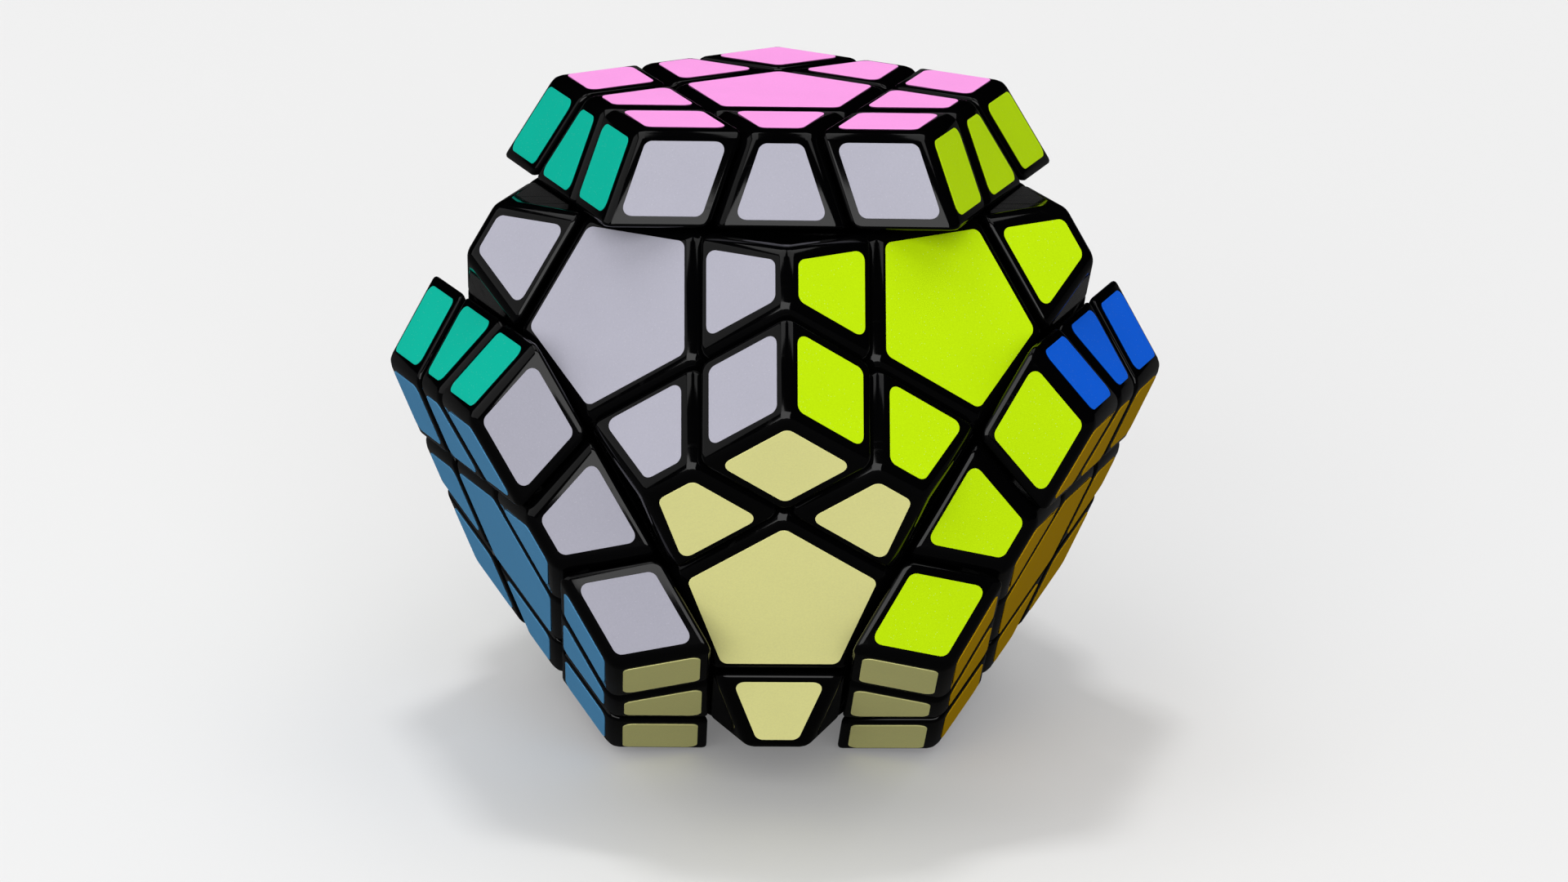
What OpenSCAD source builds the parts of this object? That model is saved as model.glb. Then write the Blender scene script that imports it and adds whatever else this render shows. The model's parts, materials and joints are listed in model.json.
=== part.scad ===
// Dodecahedron twisty puzzle with twelve turning faces
//
// Everything is modelled around the core, so each turning axis passes through the origin.
// The top, lower left and lower right faces stand part-turned, and the puzzle rests on
// one corner of each lower turned layer and on one corner at its back.

/* [Puzzle body] */
// Distance between opposite faces of the plastic when every face is square
across_faces = 70; // [62:1:78]
// Depth of a turning layer, from its face down to its cut
layer_depth = 10.25; // [9.25:0.05:11.25]
// Gap between neighbouring pieces
piece_gap = 0.5; // [0.3:0.05:0.7]
// How far from a blunt edge of a piece, such as a ridge between faces, its rounding starts
blunt_bevel = 1.15; // [0.8:0.05:1.2]
// How far from a sharp edge of a piece, such as a face's rim along a cut, its rounding starts
sharp_bevel = 0.85; // [0.5:0.05:1]
// Wall of the hollow edge and corner shells
shell_wall = 1.5; // [1:0.1:2]

/* [Turned faces] */
// Turn of the top face, anticlockwise seen from outside
top_turn = 35; // [0:1:72]
// Turn of the lower left face, clockwise seen from outside
left_turn = 35; // [0:1:72]
// Turn of the lower right face, anticlockwise seen from outside
right_turn = 35; // [0:1:72]

/* [Stickers] */
// Thickness of a sticker
sticker_t = 0.08; // [0.06:0.02:0.2]
// Radius of a sticker's corners
sticker_r = 1; // [0.4:0.1:1.6]
// From the cut to the rim of a centre sticker
centre_margin = 1.35; // [0.8:0.05:2]
// From the cut to the inner rim of an edge sticker
edge_inner_margin = 1.4; // [0.8:0.05:2]
// From the outer ridge to the outer rim of an edge sticker
edge_outer_margin = 1.45; // [0.8:0.05:2]
// From the cut to a slanted rim of an edge sticker
edge_side_margin = 1.75; // [0.8:0.05:2.2]
// From the cut to an inner rim of a corner sticker
corner_inner_margin = 1.7; // [0.8:0.05:2.2]
// From the outer ridge to an outer rim of a corner sticker
corner_outer_margin = 1.3; // [0.8:0.05:2]

/* [Feet] */
// Half-angle of the round cut between necks, about a turning axis
neck_angle = 43; // [42:0.5:44]
// Half-angle of the round cut between feet, about a turning axis
foot_angle = 48.5; // [47:0.5:50]
// Thickness of the feet, measured towards the core
foot_thickness = 7.5; // [6:0.5:8.5]
// Wall of the hollow feet under the edge pieces
foot_wall = 1.6; // [1.2:0.1:2]
// Thickness of a centre's rim, over the feet
rim_thickness = 4; // [3:0.25:5]
// From a face's inner rim down to the flange that closes its shell
split_drop = 0.3; // [0.2:0.05:0.5]
// Depth of a foot's plug in its shell
plug_depth = 2; // [1:0.25:2.5]
// Fit of a plug in its shell or hole, on each side
plug_fit = 0.1; // [0.05:0.05:0.2]

/* [Core and screws] */
// Diameter of the core's ball
core_d = 20; // [16:1:24]
// Diameter of a core arm
arm_d = 6.8; // [5:0.2:8]
// Running gap between a core arm and the centre that turns on it
arm_gap = 0.3; // [0.2:0.05:0.5]
// Floor of a centre's stem, under its spring
stem_floor = 1.8; // [1.2:0.1:2.4]
// Diameter of a screw's shank
screw_d = 2.5; // [2:0.1:3]
// Length of a screw below its head
screw_length = 16; // [14:0.5:18]
// Diameter of a screw's head
head_d = 5; // [4:0.1:5.2]
// Height of a screw's head
head_h = 1.8; // [1.2:0.1:2]
// Width of a slot in the screw's cross recess
recess_w = 0.7; // [0.4:0.1:1]
// Depth of the screw's cross recess
recess_depth = 0.9; // [0.5:0.1:1.1]
// Diameter of a washer
washer_d = 5.4; // [5:0.1:5.6]
// Thickness of a washer
washer_t = 0.5; // [0.3:0.1:0.7]
// Outer diameter of a spring
spring_d = 5.2; // [4.4:0.1:5.6]
// Wire diameter of a spring
spring_wire = 0.6; // [0.4:0.05:0.7]
// Length of a fitted spring
spring_length = 5.4; // [5:0.1:5.6]
// Turns of a spring
spring_turns = 4; // [3:1:5]
// Clearance around the screw, washer and spring
bore_clearance = 0.3; // [0.2:0.05:0.4]
// Height of the spigot under a centre's lid
spigot_h = 1.2; // [0.6:0.1:1.4]

/* [Hidden] */

$fn = 64;

// Angles of a regular dodecahedron, between the axes of its faces, edges and corners
sides = 5;
side_step = 360 / sides;
face_angle = acos(1 / sqrt(5));
edge_lean = face_angle / 2;
end_lean = 90 - edge_lean;
corner_lean = acos(sqrt((5 + 2 * sqrt(5)) / 15));

// Faces in order: the top, the upper ring, the lower ring and the bottom
upper_start = 234;
lower_start = 270;
AXES = concat(
    [[0, 0, 1]],
    [for (k = [0 : sides - 1]) spherical(face_angle, upper_start + k * side_step)],
    [for (k = [0 : sides - 1]) spherical(180 - face_angle, lower_start + k * side_step)],
    [[0, 0, -1]]
);
COLOURS = [
    "pink", "grey", "lime", "blue", "red", "teal",
    "cream", "gold", "white", "green", "sky", "purple"
];
PAINTS = [
    "#fea0ea", "#acabb8", "#c5ee08", "#0463e8", "#c81e28", "#08bca3",
    "#fefba8", "#f8c209", "#f0f0ee", "#1f7a3c", "#68b6ec", "#6a3fa0"
];
function face_of(colour) = search([colour], COLOURS)[0];
BLACK = "#161616";
STEEL = "#b4b6ba";
NYLON = "#3c3e42";

// The three layers that turn, named by their face, and the main body that they turn on
TOP = face_of("pink");
LEFT = face_of("sky");
RIGHT = face_of("gold");
MAIN = -1;

// Two face axes that are neighbours have a dot product near 0.45, all others far less
near = cos(face_angle) - 0.1;
last_face = len(AXES) - 1;
EDGES = [
    for (i = [0 : last_face], j = [0 : last_face])
        if (i < j && AXES[i] * AXES[j] > near) [i, j]
];
CORNERS = [
    for (e = EDGES, k = [0 : last_face])
        if (e[1] < k && AXES[e[0]] * AXES[k] > near && AXES[e[1]] * AXES[k] > near) [e[0], e[1], k]
];

// Heights above the core centre
face_h = across_faces / 2;
cut_h = face_h - layer_depth;
half_gap = piece_gap / 2;
neck_top = cut_h / cos(neck_angle);
seat_margin = 0.3;
lid_seat = neck_top * cos(face_angle - neck_angle) + seat_margin;
edge_flange_low = neck_top * cos(end_lean - neck_angle) + seat_margin;
edge_rim = (face_h + cut_h + half_gap) / (2 * cos(edge_lean));
edge_split = edge_rim - split_drop;
corner_rim = (face_h + 2 * (cut_h + half_gap)) / (3 * cos(corner_lean));
corner_split = corner_rim - split_drop;
foot_top = lid_seat - rim_thickness;
foot_low = foot_top - foot_thickness;
arm_top = foot_low - arm_gap;
spring_seat = foot_low + stem_floor;
washer_seat = spring_seat + spring_length;
head_seat = washer_seat + washer_t;
bore_r = max(spring_d, washer_d, head_d) / 2 + bore_clearance;
reach = across_faces;

// Distances on a face, from its centre
face_apothem = face_h * tan(edge_lean);
cut_apothem = (cut_h - face_h * cos(face_angle)) / sin(face_angle);

// Vectors and planes

function spherical(polar, azimuth) =
    [sin(polar) * cos(azimuth), sin(polar) * sin(azimuth), cos(polar)];

function unit(v) = v / norm(v);

function total(v, i = 0) = i == len(v) - 1 ? v[i] : v[i] + total(v, i + 1);

function turned(p, axis, angle) =
    p * cos(angle) + cross(axis, p) * sin(angle) + axis * (axis * p) * (1 - cos(angle));

// A plane is [outward normal, distance]: two of them meet in a blunt edge or a sharp one
function is_blunt(a, b) = a[0] * b[0] > 0;

function bevel_radius(a, b) =
    (is_blunt(a, b) ? blunt_bevel : sharp_bevel) / tan(acos(a[0] * b[0]) / 2);

// A flat that touches the rounding where the planes in group meet, leaning by their shares
function flat(planes, group, shares) =
    let (r = min([for (i = group, j = group) if (i < j) bevel_radius(planes[i], planes[j])]))
    let (normal = total([for (k = [0 : len(group) - 1]) shares[k] * planes[group[k]][0]]))
    let (support = total([for (k = [0 : len(group) - 1]) shares[k] * (planes[group[k]][1] - r)]))
    [unit(normal), support / norm(normal) + r];

// An edge is rounded by three flats, whose shares space their leans evenly, and a corner by one
BLUNT_SHARES = [[5, 2], [1, 1], [2, 5]];
SHARP_SHARES = [[2, 1], [1, 1], [1, 2]];
CORNER_SHARES = [[1, 1, 1]];
function shares_of(planes, group) =
    len(group) > 2 ? CORNER_SHARES
    : is_blunt(planes[group[0]], planes[group[1]]) ? BLUNT_SHARES : SHARP_SHARES;

function flats(planes, group) =
    [for (shares = shares_of(planes, group)) flat(planes, group, shares)];

module aim(axis) {
    rotate([0, acos(axis[2]), atan2(axis[1], axis[0])])
        children();
}

// Everything on the inner side of a plane
module inside(plane) {
    aim(plane[0])
        translate([-reach, -reach, plane[1] - 2 * reach])
            cube(2 * reach);
}

module block(planes) {
    intersection_for (plane = planes)
        inside(plane);
}

module slab(low, high) {
    translate([-reach, -reach, low])
        cube([2 * reach, 2 * reach, high - low]);
}

// Sets a piece's own frame: its z axis along axis, its x axis leaning towards another
module face_along(axis, towards) {
    z = unit(axis);
    x = unit(towards - z * (towards * z));
    y = cross(z, x);
    multmatrix([[x[0], y[0], z[0], 0], [x[1], y[1], z[1], 0], [x[2], y[2], z[2], 0], [0, 0, 0, 1]])
        children();
}

// Layers, their turns and the stance

function layer_of(faces) =
    let (found = [for (f = faces) if (f == TOP || f == LEFT || f == RIGHT) f])
    len(found) > 0 ? found[0] : MAIN;

function turn_of(layer) =
    layer == TOP ? top_turn : layer == LEFT ? -left_turn : layer == RIGHT ? right_turn : 0;

function corner_axis(c) = unit(AXES[c[0]] + AXES[c[1]] + AXES[c[2]]);

// Centre of the rounded tip of a corner, turned with its layer
tip_r = blunt_bevel / tan(edge_lean);
tip_h = (face_h - tip_r) / cos(corner_lean);
function tip(c) =
    let (layer = layer_of(c))
    let (p = corner_axis(c) * tip_h)
    layer == MAIN ? p : turned(p, AXES[layer], turn_of(layer));

function lowest(points, i = 0) =
    i == len(points) - 1 ? points[i]
    : let (rest = lowest(points, i + 1)) points[i][2] < rest[2] ? points[i] : rest;

function lowest_tip(layer) = lowest([for (c = CORNERS) if (layer_of(c) == layer) tip(c)]);

left_foot = lowest_tip(LEFT);
right_foot = lowest_tip(RIGHT);
back_foot = tip([for (colour = ["white", "green", "purple"]) face_of(colour)]);
rest_down = unit(cross(back_foot - left_foot, right_foot - left_foot));

// Tips the upright puzzle back until its three resting corners are level
module stand() {
    rotate(a = acos(-rest_down[2]), v = cross(rest_down, [0, 0, -1]))
        children();
}

module in_layer(layer) {
    axis = layer == MAIN ? [0, 0, 1] : AXES[layer];
    stand()
        rotate(a = turn_of(layer), v = axis)
            children();
}

// Outer shells

EDGE_FACES = [spherical(edge_lean, 180), spherical(edge_lean, 0)];
EDGE_ENDS = [spherical(end_lean, 90), spherical(end_lean, 270)];
EDGE_GROUPS = [
    [0, 1], [0, 3], [1, 2], [0, 4], [0, 5], [1, 4], [1, 5], [2, 4], [2, 5], [3, 4], [3, 5],
    [0, 1, 4], [0, 1, 5], [0, 3, 4], [0, 3, 5], [1, 2, 4], [1, 2, 5]
];

// Planes of an edge piece: its two faces, its two undersides and its two ends
function edge_planes(inset) = concat(
    [for (n = EDGE_FACES) [n, face_h - inset]],
    [for (n = EDGE_FACES) [-n, -cut_h - half_gap - inset]],
    [for (n = EDGE_ENDS) [n, cut_h - half_gap - inset]]
);

CORNER_FACES = [for (k = [0 : 2]) spherical(corner_lean, k * 120)];
CORNER_GROUPS = [
    [0, 1], [0, 2], [1, 2], [0, 4], [0, 5], [1, 3], [1, 5], [2, 3], [2, 4], [3, 4], [3, 5], [4, 5],
    [0, 1, 2], [0, 1, 5], [0, 2, 4], [1, 2, 3], [0, 4, 5], [1, 3, 5], [2, 3, 4]
];

// Planes of a corner piece: its three faces and its three undersides
function corner_planes(inset) = concat(
    [for (n = CORNER_FACES) [n, face_h - inset]],
    [for (n = CORNER_FACES) [-n, -cut_h - half_gap - inset]]
);

LID_SIDES = [for (k = [0 : sides - 1]) spherical(face_angle, k * side_step)];
LID_GROUPS = [
    for (k = [0 : sides - 1])
        let (next = (k + 1) % sides)
        each [[0, k + 1], [k + 1, next + 1], [0, k + 1, next + 1]]
];

// Planes of a centre's lid: its face and its five sides
function lid_planes() = concat(
    [[[0, 0, 1], face_h]],
    [for (n = LID_SIDES) [n, cut_h - half_gap]]
);

function rounded(planes, groups) = concat(planes, [for (g = groups) each flats(planes, g)]);

module shell(planes, groups, pocket, split) {
    difference() {
        intersection() {
            block(rounded(planes, groups));
            slab(split, 2 * reach);
        }
        block(pocket);
    }
}

module edge_shell() {
    shell(edge_planes(0), EDGE_GROUPS, edge_planes(shell_wall), edge_split);
}

module corner_shell() {
    shell(corner_planes(0), CORNER_GROUPS, corner_planes(shell_wall), corner_split);
}

module centre_lid() {
    planes = lid_planes();
    intersection() {
        block(rounded(planes, LID_GROUPS));
        slab(lid_seat, 2 * reach);
    }
    translate([0, 0, lid_seat - spigot_h])
        cylinder(h = spigot_h + seat_margin, r = bore_r - plug_fit);
}

// Necks and feet

// The part of its children that lies between two balls about the core
module between_balls(low, high) {
    difference() {
        intersection() {
            sphere(r = high);
            children();
        }
        sphere(r = low);
    }
}

// Everything within an angle of the z axis, cut off below the feet
module cone(angle) {
    low = foot_low / 2;
    translate([0, 0, low])
        cylinder(h = reach - low, r1 = low * tan(angle), r2 = reach * tan(angle));
}

// Four planes through the core that keep an edge piece clear of the round cuts of its neighbours
function wedge(cut_angle, inset) =
    let (half_length = end_lean - cut_angle)
    let (half_width = acos(cos(cut_angle) / cos(half_length)) - edge_lean)
    [
        for (side = [-1, 1])
            each [
                [[side * cos(half_width), 0, -sin(half_width)], -inset],
                [[0, side * cos(half_length), -sin(half_length)], -inset]
            ]
    ];

// Round cuts about the core, narrowed so that half a gap is left on each side
foot_slack = asin(half_gap / foot_low);
neck_slack = asin(half_gap / foot_top);
neck_stop = neck_top - seat_margin;

module edge_neck_and_foot() {
    difference() {
        between_balls(foot_low, foot_top - half_gap)
            block(wedge(foot_angle, half_gap));
        between_balls(foot_low / 2, foot_top - half_gap - foot_wall)
            block(wedge(foot_angle, half_gap + foot_wall));
    }
    between_balls(foot_top - piece_gap, foot_top + piece_gap)
        block(concat(wedge(foot_angle, piece_gap), wedge(neck_angle, piece_gap)));
    between_balls(foot_top + half_gap, neck_stop)
        block(wedge(neck_angle, half_gap));
}

module corner_neck_and_foot() {
    between_balls(foot_low, foot_top - half_gap)
        cone(foot_angle - corner_lean - foot_slack);
    between_balls(foot_top - piece_gap, neck_stop)
        cone(neck_angle - corner_lean - neck_slack);
}

// The flange under a shell, with the plug that holds the shell
module flange(planes, groups, plug, low, split) {
    intersection() {
        block(rounded(planes, groups));
        slab(low, split);
    }
    intersection() {
        block(plug);
        slab(low, split + plug_depth);
    }
}

module edge_foot() {
    edge_neck_and_foot();
    flange(edge_planes(0), EDGE_GROUPS, edge_planes(shell_wall + plug_fit), edge_flange_low, edge_split);
}

module corner_foot() {
    corner_neck_and_foot();
    flange(corner_planes(0), CORNER_GROUPS, corner_planes(shell_wall + plug_fit), foot_top, corner_split);
}

module centre_base() {
    difference() {
        union() {
            intersection() {
                cone(face_angle - foot_angle - foot_slack);
                slab(foot_low, foot_top + rim_thickness / 2);
            }
            difference() {
                intersection() {
                    cone(face_angle - neck_angle - neck_slack);
                    slab(0, lid_seat);
                }
                sphere(r = foot_top + half_gap);
            }
        }
        translate([0, 0, spring_seat])
            cylinder(h = reach, r = bore_r);
        cylinder(h = reach, d = screw_d + 2 * bore_clearance);
    }
}

// Core, screws, washers and springs

pilot_gap = 0.1;
pilot_depth = head_seat - screw_length - bore_clearance;

module core_body() {
    difference() {
        union() {
            sphere(d = core_d);
            for (axis = AXES)
                aim(axis)
                    cylinder(h = arm_top, d = arm_d);
        }
        for (axis = AXES)
            aim(axis)
                translate([0, 0, pilot_depth])
                    cylinder(h = reach, d = screw_d + 2 * pilot_gap);
    }
}

module screw() {
    difference() {
        union() {
            translate([0, 0, head_seat - screw_length])
                cylinder(h = screw_length + head_h / 2, d = screw_d);
            translate([0, 0, head_seat])
                cylinder(h = head_h, d = head_d);
        }
        for (turn = [0, 90])
            rotate([0, 0, turn])
                translate([-head_d / 4, -recess_w / 2, head_seat + head_h - recess_depth])
                    cube([head_d / 2, recess_w, head_h]);
    }
}

module washer() {
    translate([0, 0, washer_seat])
        difference() {
            cylinder(h = washer_t, d = washer_d);
            translate([0, 0, -washer_t])
                cylinder(h = 3 * washer_t, d = screw_d + 2 * bore_clearance);
        }
}

// A spring is one wire swept round a helix, with flat ends
wire_sides = 6;
rings_per_turn = 8;
end_gap = 0.05;
module spring() {
    rings = spring_turns * rings_per_turn;
    coil_r = (spring_d - spring_wire) / 2;
    low = spring_seat + spring_wire / 2 + end_gap;
    rise = (spring_length - spring_wire - 2 * end_gap) / rings;
    points = [
        for (i = [0 : rings], s = [0 : wire_sides - 1])
            let (around = 360 * i / rings_per_turn)
            let (section = 360 * s / wire_sides)
            let (r = coil_r + spring_wire / 2 * cos(section))
            [r * cos(around), r * sin(around), low + i * rise + spring_wire / 2 * sin(section)]
    ];
    walls = [
        for (i = [0 : rings - 1], s = [0 : wire_sides - 1])
            let (a = i * wire_sides + s)
            let (b = i * wire_sides + (s + 1) % wire_sides)
            each [[a, b, a + wire_sides], [b, b + wire_sides, a + wire_sides]]
    ];
    last = rings * wire_sides;
    ends = [
        for (s = [1 : wire_sides - 2])
            each [[0, s + 1, s], [last, last + s, last + s + 1]]
    ];
    polyhedron(points = points, faces = concat(walls, ends));
}

// Stickers

// A line on a face is [direction of its outward normal in degrees, distance]
function meet(a, b, inset) =
    let (det = sin(b[0] - a[0]))
    [
        ((a[1] - inset) * sin(b[0]) - (b[1] - inset) * sin(a[0])) / det,
        ((b[1] - inset) * cos(a[0]) - (a[1] - inset) * cos(b[0])) / det
    ];

// The outline that lines enclose, with arcs for corners
arc_steps = 4;
function outline(lines) = [
    for (i = [0 : len(lines) - 1], s = [0 : arc_steps])
        let (a = lines[i])
        let (b = lines[(i + 1) % len(lines)])
        let (sweep = (b[0] - a[0] + 360) % 360)
        let (angle = a[0] + sweep * s / arc_steps)
        meet(a, b, sticker_r) + sticker_r * [cos(angle), sin(angle)]
];

function centre_lines() = [for (k = [0 : sides - 1]) [k * side_step, cut_apothem - centre_margin]];

function edge_lines() = [
    [0, face_apothem - edge_outer_margin],
    [side_step, cut_apothem - edge_side_margin],
    [180, -cut_apothem - edge_inner_margin],
    [-side_step, cut_apothem - edge_side_margin]
];

function corner_lines() = [
    [side_step / 2, face_apothem - corner_outer_margin],
    [180 - side_step / 2, -cut_apothem - corner_inner_margin],
    [180 + side_step / 2, -cut_apothem - corner_inner_margin],
    [-side_step / 2, face_apothem - corner_outer_margin]
];

module sticker(lines) {
    translate([0, 0, face_h])
        linear_extrude(height = sticker_t)
            polygon(outline(lines));
}

// Places on the puzzle

function beside(face) = [for (j = [0 : last_face]) if (j != face && AXES[face] * AXES[j] > near) j];

function has(faces, face) = len([for (f = faces) if (f == face) f]) > 0;

module at_centres(layer) {
    for (f = [0 : last_face])
        if (layer_of([f]) == layer)
            face_along(AXES[f], AXES[beside(f)[0]])
                children();
}

module at_edges(layer) {
    for (e = EDGES)
        if (layer_of(e) == layer)
            face_along(AXES[e[0]] + AXES[e[1]], AXES[e[1]] - AXES[e[0]])
                children();
}

module at_corners(layer) {
    for (c = CORNERS)
        if (layer_of(c) == layer)
            face_along(corner_axis(c), AXES[c[0]])
                children();
}

module at_screws() {
    stand()
        for (f = [0 : last_face])
            face_along(AXES[f], AXES[beside(f)[0]])
                children();
}

// Sub-parts

module core() {
    color(NYLON)
        stand()
            core_body();
}

module screws() {
    color(STEEL)
        at_screws()
            screw();
}

module springs() {
    color(STEEL)
        at_screws()
            spring();
}

module washers() {
    color(STEEL)
        at_screws()
            washer();
}

module centre_lids(layer) {
    color(BLACK)
        in_layer(layer)
            at_centres(layer)
                centre_lid();
}

module centre_bases(layer) {
    color(BLACK)
        in_layer(layer)
            at_centres(layer)
                centre_base();
}

module edge_shells(layer) {
    color(BLACK)
        in_layer(layer)
            at_edges(layer)
                edge_shell();
}

module edge_feet(layer) {
    color(BLACK)
        in_layer(layer)
            at_edges(layer)
                edge_foot();
}

module corner_shells(layer) {
    color(BLACK)
        in_layer(layer)
            at_corners(layer)
                corner_shell();
}

module corner_feet(layer) {
    color(BLACK)
        in_layer(layer)
            at_corners(layer)
                corner_foot();
}

// The stickers of one colour's face that ride on one layer's pieces
module stickers(colour, layer) {
    face = face_of(colour);
    axis = AXES[face];
    color(PAINTS[face])
        in_layer(layer) {
            if (layer_of([face]) == layer)
                face_along(axis, AXES[beside(face)[0]])
                    sticker(centre_lines());
            for (e = EDGES)
                if (has(e, face) && layer_of(e) == layer)
                    face_along(axis, AXES[e[0]] + AXES[e[1]] - axis)
                        sticker(edge_lines());
            for (c = CORNERS)
                if (has(c, face) && layer_of(c) == layer)
                    face_along(axis, corner_axis(c))
                        sticker(corner_lines());
        }
}

core();
screws();
springs();
washers();

centre_lids(MAIN);  // main_centre_lids
centre_bases(MAIN);  // main_centre_bases
edge_shells(MAIN);  // main_edge_shells
edge_feet(MAIN);  // main_edge_feet
corner_shells(MAIN);  // main_corner_shells
corner_feet(MAIN);  // main_corner_feet

centre_lids(TOP);  // top_centre_lid
centre_bases(TOP);  // top_centre_base
edge_shells(TOP);  // top_edge_shells
edge_feet(TOP);  // top_edge_feet
corner_shells(TOP);  // top_corner_shells
corner_feet(TOP);  // top_corner_feet

centre_lids(LEFT);  // left_centre_lid
centre_bases(LEFT);  // left_centre_base
edge_shells(LEFT);  // left_edge_shells
edge_feet(LEFT);  // left_edge_feet
corner_shells(LEFT);  // left_corner_shells
corner_feet(LEFT);  // left_corner_feet

centre_lids(RIGHT);  // right_centre_lid
centre_bases(RIGHT);  // right_centre_base
edge_shells(RIGHT);  // right_edge_shells
edge_feet(RIGHT);  // right_edge_feet
corner_shells(RIGHT);  // right_corner_shells
corner_feet(RIGHT);  // right_corner_feet

stickers("pink", TOP);  // top_pink_stickers
stickers("grey", TOP);  // top_grey_stickers
stickers("lime", TOP);  // top_lime_stickers
stickers("blue", TOP);  // top_blue_stickers
stickers("red", TOP);  // top_red_stickers
stickers("teal", TOP);  // top_teal_stickers

stickers("sky", LEFT);  // left_sky_stickers
stickers("grey", LEFT);  // left_grey_stickers
stickers("teal", LEFT);  // left_teal_stickers
stickers("cream", LEFT);  // left_cream_stickers
stickers("green", LEFT);  // left_green_stickers
stickers("purple", LEFT);  // left_purple_stickers

stickers("gold", RIGHT);  // right_gold_stickers
stickers("lime", RIGHT);  // right_lime_stickers
stickers("blue", RIGHT);  // right_blue_stickers
stickers("cream", RIGHT);  // right_cream_stickers
stickers("white", RIGHT);  // right_white_stickers
stickers("purple", RIGHT);  // right_purple_stickers

stickers("grey", MAIN);  // main_grey_stickers
stickers("lime", MAIN);  // main_lime_stickers
stickers("blue", MAIN);  // main_blue_stickers
stickers("red", MAIN);  // main_red_stickers
stickers("teal", MAIN);  // main_teal_stickers
stickers("cream", MAIN);  // main_cream_stickers
stickers("white", MAIN);  // main_white_stickers
stickers("green", MAIN);  // main_green_stickers
stickers("purple", MAIN);  // main_purple_stickers
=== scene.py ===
# %% [markdown]
# # A dodecahedron twisty puzzle
#
# The puzzle has twelve five-sided faces. Each face turns as a layer of eleven pieces: one
# centre, five edges and five corners. In this pose three layers stand part-turned: the top
# one and the two at the lower left and right.
#
# The solids of the real parts are the fixed frame of this lesson. We keep the hidden parts
# as they are, and model again what shows: the moulded black shells and the vinyl stickers.

# %% Load the frame
import json
import math
from itertools import combinations

import bmesh
import bpy
from mathutils import Matrix, Quaternion, Vector


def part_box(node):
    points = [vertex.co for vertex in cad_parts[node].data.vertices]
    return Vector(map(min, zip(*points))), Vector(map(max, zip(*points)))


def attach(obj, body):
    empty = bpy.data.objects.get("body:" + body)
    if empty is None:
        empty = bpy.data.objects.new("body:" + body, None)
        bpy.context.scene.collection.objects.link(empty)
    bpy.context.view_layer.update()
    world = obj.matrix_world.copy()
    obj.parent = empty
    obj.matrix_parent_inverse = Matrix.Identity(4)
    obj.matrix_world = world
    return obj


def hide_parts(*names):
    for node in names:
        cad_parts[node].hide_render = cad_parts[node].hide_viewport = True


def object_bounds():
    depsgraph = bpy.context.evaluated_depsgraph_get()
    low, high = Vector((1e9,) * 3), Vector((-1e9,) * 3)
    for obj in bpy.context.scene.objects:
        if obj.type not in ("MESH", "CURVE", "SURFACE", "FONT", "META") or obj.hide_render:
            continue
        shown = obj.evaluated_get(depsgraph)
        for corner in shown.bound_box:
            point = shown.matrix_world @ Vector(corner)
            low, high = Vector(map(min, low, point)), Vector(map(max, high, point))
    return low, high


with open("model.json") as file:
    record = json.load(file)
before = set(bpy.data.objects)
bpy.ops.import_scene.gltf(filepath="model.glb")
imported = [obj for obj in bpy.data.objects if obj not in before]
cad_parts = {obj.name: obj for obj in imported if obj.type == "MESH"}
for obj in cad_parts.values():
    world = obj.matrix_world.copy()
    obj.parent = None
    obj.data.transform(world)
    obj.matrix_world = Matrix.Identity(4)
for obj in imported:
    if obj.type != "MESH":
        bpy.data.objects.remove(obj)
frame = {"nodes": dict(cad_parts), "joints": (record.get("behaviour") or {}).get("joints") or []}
cad_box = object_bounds()

# %% [markdown]
# ## Where the faces are
#
# A regular dodecahedron needs only a few angles. We could copy the place of every piece from
# the frame, but it is shorter to work them out: the three turning axes are in the frame's
# joints, and they fix how the puzzle stands. Every face is then a polar angle from the top
# axis and a turn around it, and the axes of two neighbours always enclose the same angle. We
# name a face by the colour of its stickers.

# %% Twelve face axes
MM = 0.001
TURN_AXES = {j["child"]: Vector(j["axis"]).normalized() for j in frame["joints"]}
top_axis = TURN_AXES["top_layer"]
across = (TURN_AXES["right_layer"] - TURN_AXES["left_layer"]).normalized()
STANCE = Matrix((across, top_axis.cross(across), top_axis)).transposed()

FACE_ANGLE = math.acos(1 / math.sqrt(5))
UPPER_RING = {"grey": 234, "lime": 306, "blue": 18, "red": 90, "teal": 162}
LOWER_RING = {"cream": 270, "gold": 342, "white": 54, "green": 126, "sky": 198}


def lean(polar, azimuth_deg):
    """The z axis tipped by a polar angle towards an azimuth."""
    azimuth = math.radians(azimuth_deg)
    around = Vector((math.cos(azimuth), math.sin(azimuth), 0)) * math.sin(polar)
    return around + Vector((0, 0, math.cos(polar)))


def face_axis(polar, azimuth_deg):
    return STANCE @ lean(polar, azimuth_deg)


AXES = {"pink": face_axis(0, 0)}
AXES.update({name: face_axis(FACE_ANGLE, turn) for name, turn in UPPER_RING.items()})
AXES.update({name: face_axis(math.pi - FACE_ANGLE, turn) for name, turn in LOWER_RING.items()})
AXES["purple"] = face_axis(math.pi, 0)
print("axes:", {name: tuple(round(x, 3) for x in axis) for name, axis in AXES.items()})

# %% [markdown]
# ## Edges, corners and layers
#
# Two faces that are neighbours share an edge piece, and three of them share a corner piece.
# Two face axes are neighbours when the cosine between them is 0.447, and the next ones are at
# -0.447, so any limit between does. A piece turns with the pink, sky or gold face if it
# touches one, and otherwise it belongs to the main body. Each layer's body in the frame has a
# matching name, so a piece can ride on it.

# %% Lists of pieces
NEIGHBOUR_COSINE = 0.4
PART_TURN = 35


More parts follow.
